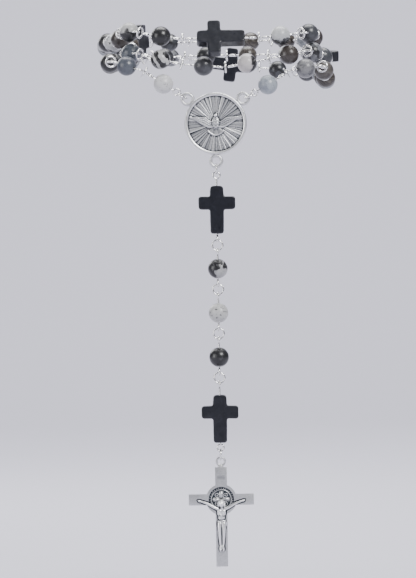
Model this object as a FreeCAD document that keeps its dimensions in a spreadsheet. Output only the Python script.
import FreeCAD, Part
import math
import os
import Sketcher

# Five-decade rosary, millimetres, +Z up. The loop is wound three times round an upright support;
# the pendant hangs down its front. X is across, +Y is away from the viewer.
# Origin: the support's front face, on the pendant's plumb line, level with the lowest beads.

Vector = FreeCAD.Vector
Placement = FreeCAD.Placement
Rotation = FreeCAD.Rotation

OUT = "parts"
DECADES = 5
BEADS = 10

# alias, value, what it is
DIMENSIONS = [
    ("bead_dia", 8.0, "round stone bead"),
    ("bore_dia", 1.0, "hole drilled through every stone"),
    ("bore_mouth_dia", 1.5, "drill hole where it meets the surface"),
    ("wire_dia", 0.8, "wire of eyes and jump rings"),
    ("stem_dia", 0.74, "straight part of an eye pin"),
    ("eye_radius", 1.35, "eye of a pin, to the middle of its wire"),
    ("ring_radius", 2.1, "jump ring, to the middle of its wire"),
    ("bead_stem", 1.05, "bare wire between a bead and its eye"),
    ("cross_stem", 1.8, "bare wire between a cross bead and its eye"),
    ("link_gap", 0.1, "clear space between two linked wires"),
    ("cross_height", 19.5, "cross bead along its bore"),
    ("cross_width", 15.1, "cross bead across its arms"),
    ("cross_beam", 6.0, "width of the upright"),
    ("cross_bar", 5.6, "height of the arms"),
    ("cross_thick", 4.7, "front to back"),
    ("cross_rise", 2.7, "arms above the middle of the upright"),
    ("cross_round", 0.9, "rounded edges"),
    ("medal_dia", 25.2, "center medal"),
    ("medal_rim", 1.3, "width of the raised rim"),
    ("medal_thick", 2.2, "at the rim"),
    ("medal_field", 1.3, "thickness inside the rim"),
    ("lug_radius", 2.2, "medal lug, to the middle of its bar"),
    ("lug_bar", 1.4, "thickness of a lug's bar"),
    ("lug_gap", 0.5, "clear space in the upper lugs, so the medal swings"),
    ("upper_lug_x", 11.25, "from the medal's middle"),
    ("upper_lug_z", 10.0, "from the medal's middle"),
    ("lower_lug_z", 15.25, "from the medal's middle"),
    ("crucifix_beam", 4.75, "crucifix upright"),
    ("crucifix_bar", 4.45, "height of the crucifix arms"),
    ("crucifix_width", 26.4, "across the arms"),
    ("crucifix_height", 40.2, "without the bail"),
    ("crucifix_thick", 1.9, "flat of the cross"),
    ("crucifix_head", 13.1, "top of the cross to the middle of the arms"),
    ("roundel_dia", 12.44, "disc at the crossing"),
    ("sunk_dia", 10.3, "sunk field of the disc"),
    ("sunk_depth", 0.42, "how deep the field is sunk"),
    ("bail_radius", 1.65, "crucifix bail, to the middle of its bar"),
    ("bail_bar", 0.9, "thickness of the bail"),
]
DIM = {alias: value for alias, value, note in DIMENSIONS}

BEAD_Y = -4.0            # middle of the beads lying against the support's front face
MEDAL_Z = -25.4
TURN_A_DEPTH = 79.0      # how far behind the front beads each turn of the loop passes
TURN_B_DEPTH = 105.0
TURN_C_SEARCH = (118.0, 160.0)

doc = FreeCAD.newDocument("Rosary")


# ---------------------------------------------------------------- small helpers

def make_sheet():
    """The sheet that drives every size."""
    sheet = doc.addObject("Spreadsheet::Sheet", "Dims")
    for row, (alias, value, note) in enumerate(DIMENSIONS, 1):
        sheet.set("A%d" % row, alias.replace("_", " "))
        sheet.set("B%d" % row, str(value))
        sheet.set("C%d" % row, note)
        sheet.setAlias("B%d" % row, alias)
    doc.recompute()
    return sheet


def bind(obj, **formulas):
    """Tie properties to the sheet; a double underscore stands for a dot."""
    for prop, formula in formulas.items():
        obj.setExpression(prop.replace("__", "."), formula)
    return obj


def turn(axis, degrees):
    return Rotation(Vector(*axis), degrees)


def ring_solid(name, radius, bar, axis="Z"):
    """A closed wire ring whose axis is a local axis."""
    ring = doc.addObject("Part::Torus", name)
    bind(ring, Radius1=radius, Radius2="(%s) / 2" % bar)
    turns = {"X": turn((0, 1, 0), 90), "Y": turn((1, 0, 0), 90), "Z": Rotation()}
    ring.Placement = Placement(Vector(), turns[axis])
    return ring


def rod(name, dia, length, start="0"):
    """A round rod along local Z from start."""
    body = doc.addObject("Part::Cylinder", name)
    bind(body, Radius="(%s) / 2" % dia, Height=length, Placement__Base__z=start)
    return body


def fuse(name, shapes):
    body = doc.addObject("Part::MultiFuse", name)
    body.Shapes = shapes
    return body


def linked(name, master, placements):
    """Separate copies of one solid, kept together under one name."""
    copies = []
    for number, place in enumerate(placements, 1):
        copy = doc.addObject("App::Link", "%s_%02d" % (name, number))
        copy.LinkedObject = master
        copy.Placement = place
        copies.append(copy)
    return copies


def group(name, copies):
    body = doc.addObject("Part::Compound", name)
    body.Links = copies
    body.Label = name
    return body


def origin_plane(body, role):
    return [f for f in body.Origin.OriginFeatures if f.Role == role][0]


def sketch_on(body, name, role):
    sketch = body.newObject("Sketcher::SketchObject", name)
    sketch.AttachmentSupport = (origin_plane(body, role), [""])
    sketch.MapMode = "FlatFace"
    return sketch


def closed_line(sketch, points):
    """A closed outline of straight lines, joined corner to corner."""
    count = len(points)
    for a, b in zip(points, points[1:] + points[:1]):
        sketch.addGeometry(Part.LineSegment(Vector(a[0], a[1], 0), Vector(b[0], b[1], 0)), False)
    for n in range(count):
        sketch.addConstraint(Sketcher.Constraint("Coincident", n, 2, (n + 1) % count, 1))


# ---------------------------------------------------------------- where every link lies

PLAY = DIM["wire_dia"] + DIM["link_gap"]      # between the wire middles of two linked wires
BEAD_REACH = DIM["bead_dia"] / 2 + DIM["bead_stem"] + 2 * DIM["eye_radius"]
CROSS_REACH = DIM["cross_height"] / 2 + DIM["cross_stem"] + 2 * DIM["eye_radius"]
RING_SPAN = 2 * DIM["ring_radius"] - PLAY
BEAD_SPAN = 2 * BEAD_REACH - PLAY
CROSS_SPAN = 2 * CROSS_REACH - PLAY
LUG_PLAY = (DIM["lug_bar"] + DIM["wire_dia"]) / 2 + DIM["lug_gap"]
LUG_SPAN = DIM["lug_radius"] - LUG_PLAY + PLAY / 2


def upper_lug(side):
    return Vector(side * DIM["upper_lug_x"], BEAD_Y, MEDAL_Z + DIM["upper_lug_z"])


def route(depth_c):
    """Curve that the loop lies on, from the medal's left lug round to its right lug.

    Each point is across, up, and behind the front beads.
    """
    depth_a = TURN_A_DEPTH
    depth_b = TURN_B_DEPTH
    left_lug = (-DIM["upper_lug_x"], MEDAL_Z + DIM["upper_lug_z"], 0)
    right_lug = (DIM["upper_lug_x"], MEDAL_Z + DIM["upper_lug_z"], 0)
    lower_left = [(-21.4, -8.6, 0), (-33.6, -1.7, -0.4), (-40.9, 0.6, 5.2), (-43.2, 0.9, 18.0)]
    turn_a = [
        (-43.3, 1.6, 36), (-42.5, 3.6, depth_a - 24), (-30, 6.4, depth_a - 4),
        (0, 7.6, depth_a),
        (32, 7.4, depth_a - 4), (45.5, 5.6, depth_a - 24), (45.8, 2.5, 33),
    ]
    middle = [
        (40.6, 4.4, 15.6), (36.6, 3.6, 3.6), (29.0, 2.0, -0.5), (12.0, -1.6, 1.2),
        (-6.0, -2.2, 1.4), (-24.5, 1.5, 0.0), (-33.0, 4.2, 5.0), (-36.4, 5.2, 14.5),
    ]
    turn_b = [
        (-34.6, 2.4, 30.5), (-34.4, 9.0, 52), (-36.5, 14.0, depth_b - 26),
        (-26, 15.2, depth_b - 4),
        (0, 15.4, depth_b),
        (28, 15.2, depth_b - 4), (40.5, 14.0, depth_b - 25), (41.3, 12.2, 50), (41.0, 10.6, 29),
    ]
    top = [
        (40.4, 11.8, 13.5), (35.5, 10.9, 2.7), (26.6, 9.6, -0.8), (1.7, 8.9, -1.9),
        (-24.5, 10.4, -0.8), (-33.6, 13.0, 3.8), (-37.4, 13.6, 12.5),
    ]
    turn_c = [
        (-38.6, 10.4, 28.8), (-43.4, 11.6, 48), (-46, 13.0, 80), (-45, 13.0, depth_c - 26),
        (-30, 12.0, depth_c - 4),
        (0, 9.0, depth_c),
        (30, 4.5, depth_c - 4), (46, 1.5, depth_c - 26), (46.6, -1.5, 85), (46.6, -4.0, 60),
    ]
    lower_right = [
        (46.4, -6.0, 36), (44.9, -3.6, 18.0), (42.8, -2.2, 5.2), (35.6, -2.6, -0.4),
        (23.1, -9.1, 0),
    ]
    through = [left_lug] + lower_left + turn_a + middle + turn_b + top + turn_c + lower_right
    through.append(right_lug)
    curve = Part.BSplineCurve()
    curve.interpolate([Vector(x, BEAD_Y + depth, z) for x, z, depth in through])
    return curve.discretize(Number=6000)


def step_along(line, index, start, length):
    """The next point of the line that is a given straight distance from start."""
    while index + 2 < len(line) and line[index + 1].distanceToPoint(start) < length:
        index += 1
    near = line[index]
    far = line[index + 1]
    low = 0.0
    high = 1.0
    if far.distanceToPoint(start) < length:
        high = 200.0
    for halving in range(40):
        middle = (low + high) / 2
        if (near + (far - near) * middle).distanceToPoint(start) < length:
            low = middle
        else:
            high = middle
    return index, near + (far - near) * high


def walk_chain(line):
    """Lay rings and pins end to end along the line: (kind, start, end) of each."""
    index, here = step_along(line, 0, line[0], LUG_SPAN)
    spans = []
    for decade in range(1, DECADES + 1):
        spans += [("ring", RING_SPAN), ("bead", BEAD_SPAN)] * BEADS
        if decade < DECADES:
            spans += [("ring", RING_SPAN), ("cross", CROSS_SPAN)]
    spans.append(("ring", RING_SPAN))
    chain = []
    for kind, span in spans:
        index, there = step_along(line, index, here, span)
        chain.append((kind, here, there))
        here = there
    return chain


def close_chain():
    """Push the last turn back until the chain ends exactly in the right lug."""
    near, far = TURN_C_SEARCH
    target = upper_lug(1)
    for halving in range(26):
        depth = (near + far) / 2
        chain = walk_chain(route(depth))
        end = chain[-1][2]
        if end.x < target.x or end.distanceToPoint(target) < LUG_SPAN:
            near = depth
        else:
            far = depth
    return chain


def link_placement(start, end, roll=0.0):
    """Middle of a link, with local Z along it and local X facing away from the support."""
    middle = (start + end) * 0.5
    along = (end - start).normalize()
    outward = middle - Vector(0, min(max(middle.y, 36.0), 70.0), middle.z)
    outward = (outward - along * outward.dot(along)).normalize()
    up = along.cross(outward)
    place = Placement(middle, Rotation(outward, up, along, "ZXY"))
    return place.multiply(Placement(Vector(), turn((0, 0, 1), roll)))


def hanging(z, roll=0.0):
    """A link of the pendant: local Z up, local X facing the viewer."""
    upright = Rotation(Vector(0, -1, 0), Vector(1, 0, 0), Vector(0, 0, 1), "ZXY")
    return Placement(Vector(0, BEAD_Y, z), upright.multiply(turn((0, 0, 1), roll)))


def pendant_heights():
    """Middles of the pendant's rings, pins and bail, from the medal down."""
    bar = MEDAL_Z - DIM["lower_lug_z"] - DIM["lug_radius"]
    ring_top = bar + (DIM["lug_bar"] + DIM["wire_dia"]) / 2 + 0.05
    rings = []
    pins = []
    for reach in [CROSS_REACH, BEAD_REACH, BEAD_REACH, BEAD_REACH, CROSS_REACH]:
        rings.append(ring_top - DIM["ring_radius"])
        eye = ring_top - 2 * DIM["ring_radius"] + PLAY
        pins.append(eye - reach)
        ring_top = eye - 2 * reach + PLAY
    rings.append(ring_top - DIM["ring_radius"])
    bail_bar = ring_top - 2 * DIM["ring_radius"] + (DIM["wire_dia"] + DIM["bail_bar"]) / 2 + 0.05
    return rings, pins, bail_bar - DIM["bail_radius"]


# ---------------------------------------------------------------- masters

def make_drill():
    """Straight bore with a slightly opened mouth at each end of a bead."""
    bore = rod("drill_bore", "Dims.bore_dia", "Dims.bead_dia + 2", "-Dims.bead_dia / 2 - 1")
    mouths = []
    for name, sign, tilt in (("upper", 1, 180), ("lower", -1, 0)):
        mouth = doc.addObject("Part::Cone", "drill_mouth_" + name)
        bind(
            mouth,
            Radius1="Dims.bore_mouth_dia * 0.9",
            Radius2="Dims.bore_dia * 0.3",
            Height="1.2",
        )
        reach = DIM["bead_dia"] / 2 + 0.25
        mouth.Placement = Placement(Vector(0, 0, sign * reach), turn((1, 0, 0), tilt))
        mouths.append(mouth)
    return fuse("drill", [bore] + mouths)


def make_bead(name, drill):
    """A round stone bead drilled along local Z."""
    ball = bind(doc.addObject("Part::Sphere", name + "_ball"), Radius="Dims.bead_dia / 2")
    bead = doc.addObject("Part::Cut", name)
    bead.Base = ball
    bead.Tool = drill
    bead.Label = name
    return bead


def make_cross_bead(name):
    """A flat stone cross with rounded edges, drilled from top to foot."""
    body = doc.addObject("PartDesign::Body", name)
    outline = sketch_on(body, name + "_outline", "YZ_Plane")
    beam = DIM["cross_beam"] / 2
    arm = DIM["cross_width"] / 2
    top = DIM["cross_height"] / 2
    low = DIM["cross_rise"] - DIM["cross_bar"] / 2
    high = DIM["cross_rise"] + DIM["cross_bar"] / 2
    right = [(beam, -top), (beam, low), (arm, low), (arm, high), (beam, high), (beam, top)]
    left = [(-y, z) for y, z in reversed(right)]
    closed_line(outline, right + left)
    slab = body.newObject("PartDesign::Pad", name + "_slab")
    slab.Profile = outline
    slab.Midplane = True
    bind(slab, Length="Dims.cross_thick")
    doc.recompute()
    soft = body.newObject("PartDesign::Fillet", name + "_soft")
    edges = ["Edge%d" % n for n in range(1, len(slab.Shape.Edges) + 1)]
    soft.Base = (slab, edges)
    bind(soft, Radius="Dims.cross_round")
    doc.recompute()
    hole = sketch_on(body, name + "_hole", "XY_Plane")
    hole.addGeometry(Part.Circle(Vector(), Vector(0, 0, 1), DIM["bore_dia"] / 2), False)
    hole.addConstraint(Sketcher.Constraint("Coincident", 0, 3, -1, 1))
    hole.addConstraint(Sketcher.Constraint("Diameter", 0, DIM["bore_dia"]))
    hole.setExpression("Constraints[1]", "Dims.bore_dia")
    bore = body.newObject("PartDesign::Pocket", name + "_bore")
    bore.Profile = hole
    bore.Type = "Length"
    bore.Midplane = True
    bind(bore, Length="Dims.cross_height + 4")
    doc.recompute()
    body.Tip = bore
    body.Label = name
    return body


def make_pin(name, half, stem, upper_turned=False, lower_turned=False):
    """A wire through a stone with a closed eye at each end; a turned eye is rolled a quarter."""
    reach = "%s / 2 + %s" % (half, stem)
    shank = rod(name + "_stem", "Dims.stem_dia", "%s + 2 * %s" % (half, stem), "-(%s)" % reach)
    upper = ring_solid(name + "_eye", "Dims.eye_radius", "Dims.wire_dia", "X" if upper_turned else "Y")
    lower = ring_solid(name + "_loop", "Dims.eye_radius", "Dims.wire_dia", "X" if lower_turned else "Y")
    bind(upper, Placement__Base__z="%s + Dims.eye_radius" % reach)
    bind(lower, Placement__Base__z="-(%s + Dims.eye_radius)" % reach)
    pin = fuse(name, [shank, upper, lower])
    pin.Label = name
    return pin


def make_ring(name):
    """A jump ring, facing along local X."""
    ring = ring_solid(name, "Dims.ring_radius", "Dims.wire_dia", "X")
    ring.Label = name
    return ring


# ---------------------------------------------------------------- medal

def dove_outline():
    """Half of a descending dove, wings raised: across and up from the medal's middle."""
    return [
        (0.0, 4.3), (0.55, 4.1), (0.85, 3.6), (0.8, 3.0), (1.15, 2.3),
        (2.6, 3.1), (4.3, 4.4), (6.2, 5.6), (8.3, 6.1), (8.0, 4.7), (7.2, 3.4), (6.3, 2.2),
        (5.2, 1.1), (4.0, 0.2), (2.6, -0.6), (1.3, -1.2),
        (1.1, -2.4), (1.6, -4.2), (2.3, -6.2), (1.2, -6.8), (0.0, -7.0),
    ]


def make_medal():
    """Round medal with a raised rim, rays, a dove in relief and three lugs."""
    body = doc.addObject("PartDesign::Body", "center_medal")
    edge = DIM["medal_dia"] / 2
    half = DIM["medal_thick"] / 2
    field = half - (DIM["medal_thick"] - DIM["medal_field"]) * 0.8
    inner = edge - DIM["medal_rim"]
    section = sketch_on(body, "medal_section", "XZ_Plane")
    closed_line(section, [
        (0, -half + 0.15), (inner, -half + 0.15), (inner + 0.3, -half), (edge - 0.4, -half),
        (edge, -half + 0.45), (edge, half - 0.45), (edge - 0.35, half), (inner + 0.3, half),
        (inner, field), (0, field),
    ])
    disc = body.newObject("PartDesign::Revolution", "medal_disc")
    disc.Profile = section
    disc.ReferenceAxis = (section, ["V_Axis"])
    disc.Angle = 360
    doc.recompute()
    places = [
        (DIM["upper_lug_x"], DIM["upper_lug_z"]),
        (-DIM["upper_lug_x"], DIM["upper_lug_z"]),
        (0.0, -DIM["lower_lug_z"]),
    ]
    for number, (x, y) in enumerate(places, 1):
        lug = body.newObject("PartDesign::AdditiveTorus", "medal_lug_%d" % number)
        lug.Placement = Placement(Vector(x, y, 0), Rotation())
        bind(lug, Radius1="Dims.lug_radius", Radius2="Dims.lug_bar / 2")
        doc.recompute()
    ray_sketch = sketch_on(body, "ray_outline", "XY_Plane")
    ray_sketch.AttachmentOffset = Placement(Vector(0, 0, field - 0.1), Rotation())
    closed_line(ray_sketch, [(1.5, 0.05), (1.5, -0.05), (inner - 0.6, -0.45), (inner - 0.6, 0.45)])
    ray = body.newObject("PartDesign::Pad", "ray")
    ray.Profile = ray_sketch
    ray.Length = 0.3
    doc.recompute()
    rays = body.newObject("PartDesign::PolarPattern", "rays")
    rays.Originals = [ray]
    rays.Axis = (ray_sketch, ["N_Axis"])
    rays.Angle = 360
    rays.Occurrences = 28
    body.Tip = rays
    doc.recompute()
    dove_sketch = sketch_on(body, "dove_outline", "XY_Plane")
    dove_sketch.AttachmentOffset = Placement(Vector(0, 0, field - 0.1), Rotation())
    right = dove_outline()
    left = [(-x, y) for x, y in reversed(right[1:-1])]
    closed_line(dove_sketch, right + left)
    dove = body.newObject("PartDesign::Pad", "dove")
    dove.Profile = dove_sketch
    dove.Length = 0.65
    body.Tip = dove
    doc.recompute()
    body.Label = "center_medal"
    body.Placement = Placement(Vector(0, BEAD_Y, MEDAL_Z), turn((1, 0, 0), 90))
    return body


# ---------------------------------------------------------------- crucifix

def box(name, width, thick, height, z):
    """A block centred across and front to back, sitting at z in the crucifix's own frame."""
    block = doc.addObject("Part::Box", name)
    bind(block, Length=width, Width=thick, Height=height)
    bind(block, Placement__Base__x="-(%s) / 2" % width, Placement__Base__y="-(%s) / 2" % thick)
    bind(block, Placement__Base__z=z)
    return block


def ball(name, at, radius):
    sphere = doc.addObject("Part::Sphere", name)
    sphere.Radius = radius
    sphere.Placement = Placement(Vector(*at), turn((0, 0, 1), 90))     # its seam lies at the back
    return sphere


def limb(name, start, end, thick_start, thick_end):
    """A tapering rod between two points."""
    bone = doc.addObject("Part::Cone", name)
    a = Vector(*start)
    b = Vector(*end)
    bone.Radius1 = thick_start
    bone.Radius2 = thick_end
    bone.Height = (b - a).Length
    bone.Placement = Placement(a, Rotation(Vector(0, 0, 1), b - a))
    return bone


def make_corpus():
    """A calm hanging figure in relief, built round z = 0, the middle of the arms."""
    front = -DIM["crucifix_thick"] / 2
    parts = [
        ball("head", (0, front - 0.7, -1.55), 1.25),
        limb("neck", (0.1, front - 0.4, -3.9), (0.05, front - 0.6, -2.2), 0.62, 0.5),
        limb("torso", (0, front + 0.4, -3.6), (0, front + 0.45, -8.3), 1.38, 1.1),
        limb("cloth", (0.05, front + 0.45, -8.1), (0.05, front + 0.4, -10.9), 1.25, 1.37),
        limb("crossed_feet", (0.1, front - 0.3, -17.3), (0.05, front - 0.1, -20.9), 0.72, 0.6),
    ]
    for side, name in ((-1, "left"), (1, "right")):
        shoulder = (side * 1.2, front - 0.1, -3.85)
        hand = (side * 8.8, front - 0.02, -0.5)
        hip = (side * 0.78, front - 0.35, -9.9)
        ankle = (side * 0.5, front - 0.15, -18.4)
        parts += [
            limb("arm_" + name, shoulder, hand, 0.7, 0.32),
            limb("hand_" + name, hand, (side * 9.5, front - 0.04, -0.2), 0.52, 0.38),
            limb("leg_" + name, hip, ankle, 0.85, 0.44),
        ]
    return parts


def plate(name, dia, thick, z, place):
    """A round plate facing the viewer: right through the cross, or standing over its front face."""
    disc = doc.addObject("Part::Cylinder", name)
    bind(disc, Radius="(%s) / 2" % dia, Height=thick)
    disc.Placement = Placement(Vector(0, 0, z), turn((1, 0, 0), 90))
    back = {
        "half_front": "Dims.crucifix_thick / 2",
        "over_front": "Dims.sunk_depth - Dims.crucifix_thick / 2",
    }
    bind(disc, Placement__Base__y=back[place])
    return disc


def roundel_studs(z):
    """Four low studs left standing on the sunk field."""
    floor = DIM["sunk_depth"] - DIM["crucifix_thick"] / 2
    studs = []
    for number in range(4):
        angle = math.radians(45 + 90 * number)
        x, up = 2.25 * math.cos(angle), z + 2.25 * math.sin(angle)
        name = "roundel_stud_%d" % (number + 1)
        studs.append(limb(name, (x, floor + 0.3, up), (x, floor - 0.28, up), 0.85, 0.62))
    return studs


def make_crucifix(bail_z):
    """Cast cross with a sunk roundel, a figure in relief and its bail."""
    crossing = -(DIM["bail_radius"] + DIM["bail_bar"] / 2 + 0.2 + DIM["crucifix_head"])
    foot = crossing + DIM["crucifix_head"] - DIM["crucifix_height"]
    upright = box("cross_upright", "Dims.crucifix_beam", "Dims.crucifix_thick",
                  "Dims.crucifix_height", "%f" % foot)
    arms = box("cross_arms", "Dims.crucifix_width", "Dims.crucifix_thick",
               "Dims.crucifix_bar", "%f - Dims.crucifix_bar / 2" % crossing)
    roundel = plate("roundel", "Dims.roundel_dia", "Dims.crucifix_thick", crossing, "half_front")
    flat = fuse("cross_blank", [upright, arms, roundel])
    field = plate("sunk_disc", "Dims.sunk_dia", "Dims.sunk_depth + 1", crossing, "over_front")
    blank = doc.addObject("Part::Cut", "cross_casting")
    blank.Base = flat
    blank.Tool = field
    studs = roundel_studs(crossing)
    neck = rod("bail_neck", "1.5", "1.6", "%f" % (-DIM["bail_radius"] - 1.5))
    bail = ring_solid("bail", "Dims.bail_radius", "Dims.bail_bar", "Y")
    body = fuse("cross_with_bail", [blank, neck, bail] + studs)
    for piece in make_corpus():
        piece.Placement.Base.z += crossing
        joined = doc.addObject("Part::Fuse", "cross_with_" + piece.Name)
        joined.Base = body
        joined.Tool = piece
        body = joined
    body.Label = "crucifix"
    body.Placement = Placement(Vector(0, BEAD_Y, bail_z), Rotation())
    return body


# ---------------------------------------------------------------- the rosary

VISIBLE = {1: (1, 2, 3), 2: (1, 2, 3, 4, 5, 6, 7, 8), 3: (8, 9, 10), 4: (1, 2, 3), 5: (8, 9, 10)}
CROSS_ROLLS = {1: 90.0, 3: 28.0}    # one lies flat between two strands; one leans out over a strand


def small_roll(number, reach):
    """A little turn of each link about its own length, different from link to link."""
    return reach * math.sin(2.4 * number + 0.7)


def build_loop(masters):
    """Pins, rings and stones of the five decades, each set in its own node."""
    chain = close_chain()
    nodes = []
    pins = {decade: [] for decade in range(1, DECADES + 1)}
    rings = {decade: [] for decade in range(1, DECADES + 1)}
    rear = {decade: [] for decade in range(1, DECADES + 1)}
    decade = 1
    count = 0
    for number, (kind, start, end) in enumerate(chain):
        if kind == "ring":
            edge = number in (0, len(chain) - 1)
            place = link_placement(start, end, 90 if edge else small_roll(number, 9))
            if edge:
                ring = make_ring("left_lug_ring" if number == 0 else "right_lug_ring")
                ring.Placement = place.multiply(ring.Placement)
                nodes.append(ring)
            else:
                rings[decade].append(place)
            continue
        place = link_placement(start, end, small_roll(number, 5))
        if kind == "cross":
            pins[decade].append(("cross", place))
            cross = masters["cross"]("our_father_cross_%d" % decade)
            cross.Placement = link_placement(start, end, CROSS_ROLLS.get(decade, 0.0))
            nodes.append(cross)
            decade += 1
            count = 0
            continue
        count += 1
        first = decade == 1 and count == 1
        last = decade == DECADES and count == BEADS
        pins[decade].append(("first" if first else "last" if last else "bead", place))
        if count in VISIBLE[decade]:
            bead = make_bead("decade_%d_bead_%02d" % (decade, count), masters["drill"])
            bead.Placement = place
            nodes.append(bead)
        else:
            rear[decade].append(place)
    for decade in range(1, DECADES + 1):
        name = "decade_%d_" % decade
        copies = []
        for kind in ("bead", "cross", "first", "last"):
            places = [place for which, place in pins[decade] if which == kind]
            copies += linked(name + kind + "_pin", masters["pins"][kind], places)
        nodes.append(group(name + "eye_pins", copies))
        nodes.append(group(name + "jump_rings", linked(name + "ring", masters["ring"], rings[decade])))
        nodes.append(group(name + "rear_beads", linked(name + "rear", masters["bead"], rear[decade])))
    return nodes


def build_pendant(masters):
    """Rings, pins and stones below the medal, and the crucifix."""
    ring_z, pin_z, bail_z = pendant_heights()
    nodes = []
    for number, z in enumerate(ring_z, 1):
        ring = make_ring("pendant_ring_%d" % number)
        edge_on = number in (1, len(ring_z))
        ring.Placement = hanging(z, 90 if edge_on else 0).multiply(ring.Placement)
        nodes.append(ring)
    stones = ["upper_cross_bead", "pendant_bead_1", "pendant_bead_2", "pendant_bead_3", "lower_cross_bead"]
    for number, (name, z) in enumerate(zip(stones, pin_z), 1):
        cross = "cross" in name
        half = "Dims.cross_height" if cross else "Dims.bead_dia"
        stem = "Dims.cross_stem" if cross else "Dims.bead_stem"
        pin = make_pin("pendant_pin_%d" % number, half, stem, number == 1, number == 5)
        pin.Placement = hanging(z)
        stone = masters["cross"](name) if cross else make_bead(name, masters["drill"])
        sink = (DIM["cross_stem"] if cross else DIM["bead_stem"]) - DIM["wire_dia"] / 2 - 0.1
        stone.Placement = hanging(z - sink * (0.8 if cross else 0.9))
        nodes += [pin, stone]
    nodes.append(make_crucifix(bail_z))
    return nodes


def build():
    make_sheet()
    drill = make_drill()
    pins = {
        "bead": make_pin("bead_pin", "Dims.bead_dia", "Dims.bead_stem"),
        "first": make_pin("first_pin", "Dims.bead_dia", "Dims.bead_stem", lower_turned=True),
        "last": make_pin("last_pin", "Dims.bead_dia", "Dims.bead_stem", upper_turned=True),
        "cross": make_pin("cross_pin", "Dims.cross_height", "Dims.cross_stem"),
    }
    masters = {
        "drill": drill,
        "pins": pins,
        "ring": make_ring("jump_ring"),
        "bead": make_bead("round_bead", drill),
        "cross": make_cross_bead,
    }
    nodes = build_loop(masters) + [make_medal()] + build_pendant(masters)
    doc.recompute()
    return nodes


def check(nodes):
    """Stop on anything that failed to build."""
    for obj in doc.Objects:
        bad = [s for s in obj.State if s in ("Invalid", "Error")]
        if bad:
            raise RuntimeError("%s is %s" % (obj.Label, bad))
    for node in nodes:
        shape = node.Shape
        if shape.isNull() or not shape.isValid() or not shape.Solids:
            raise RuntimeError("%s has no valid solid" % node.Label)


def export(nodes):
    os.makedirs(OUT, exist_ok=True)
    for node in nodes:
        node.Shape.exportStep(os.path.join(OUT, node.Label + ".step"))
        print("%-28s %3d solids %9.1f mm3" % (node.Label, len(node.Shape.Solids), node.Shape.Volume))


NODES = build()
check(NODES)
export(NODES)
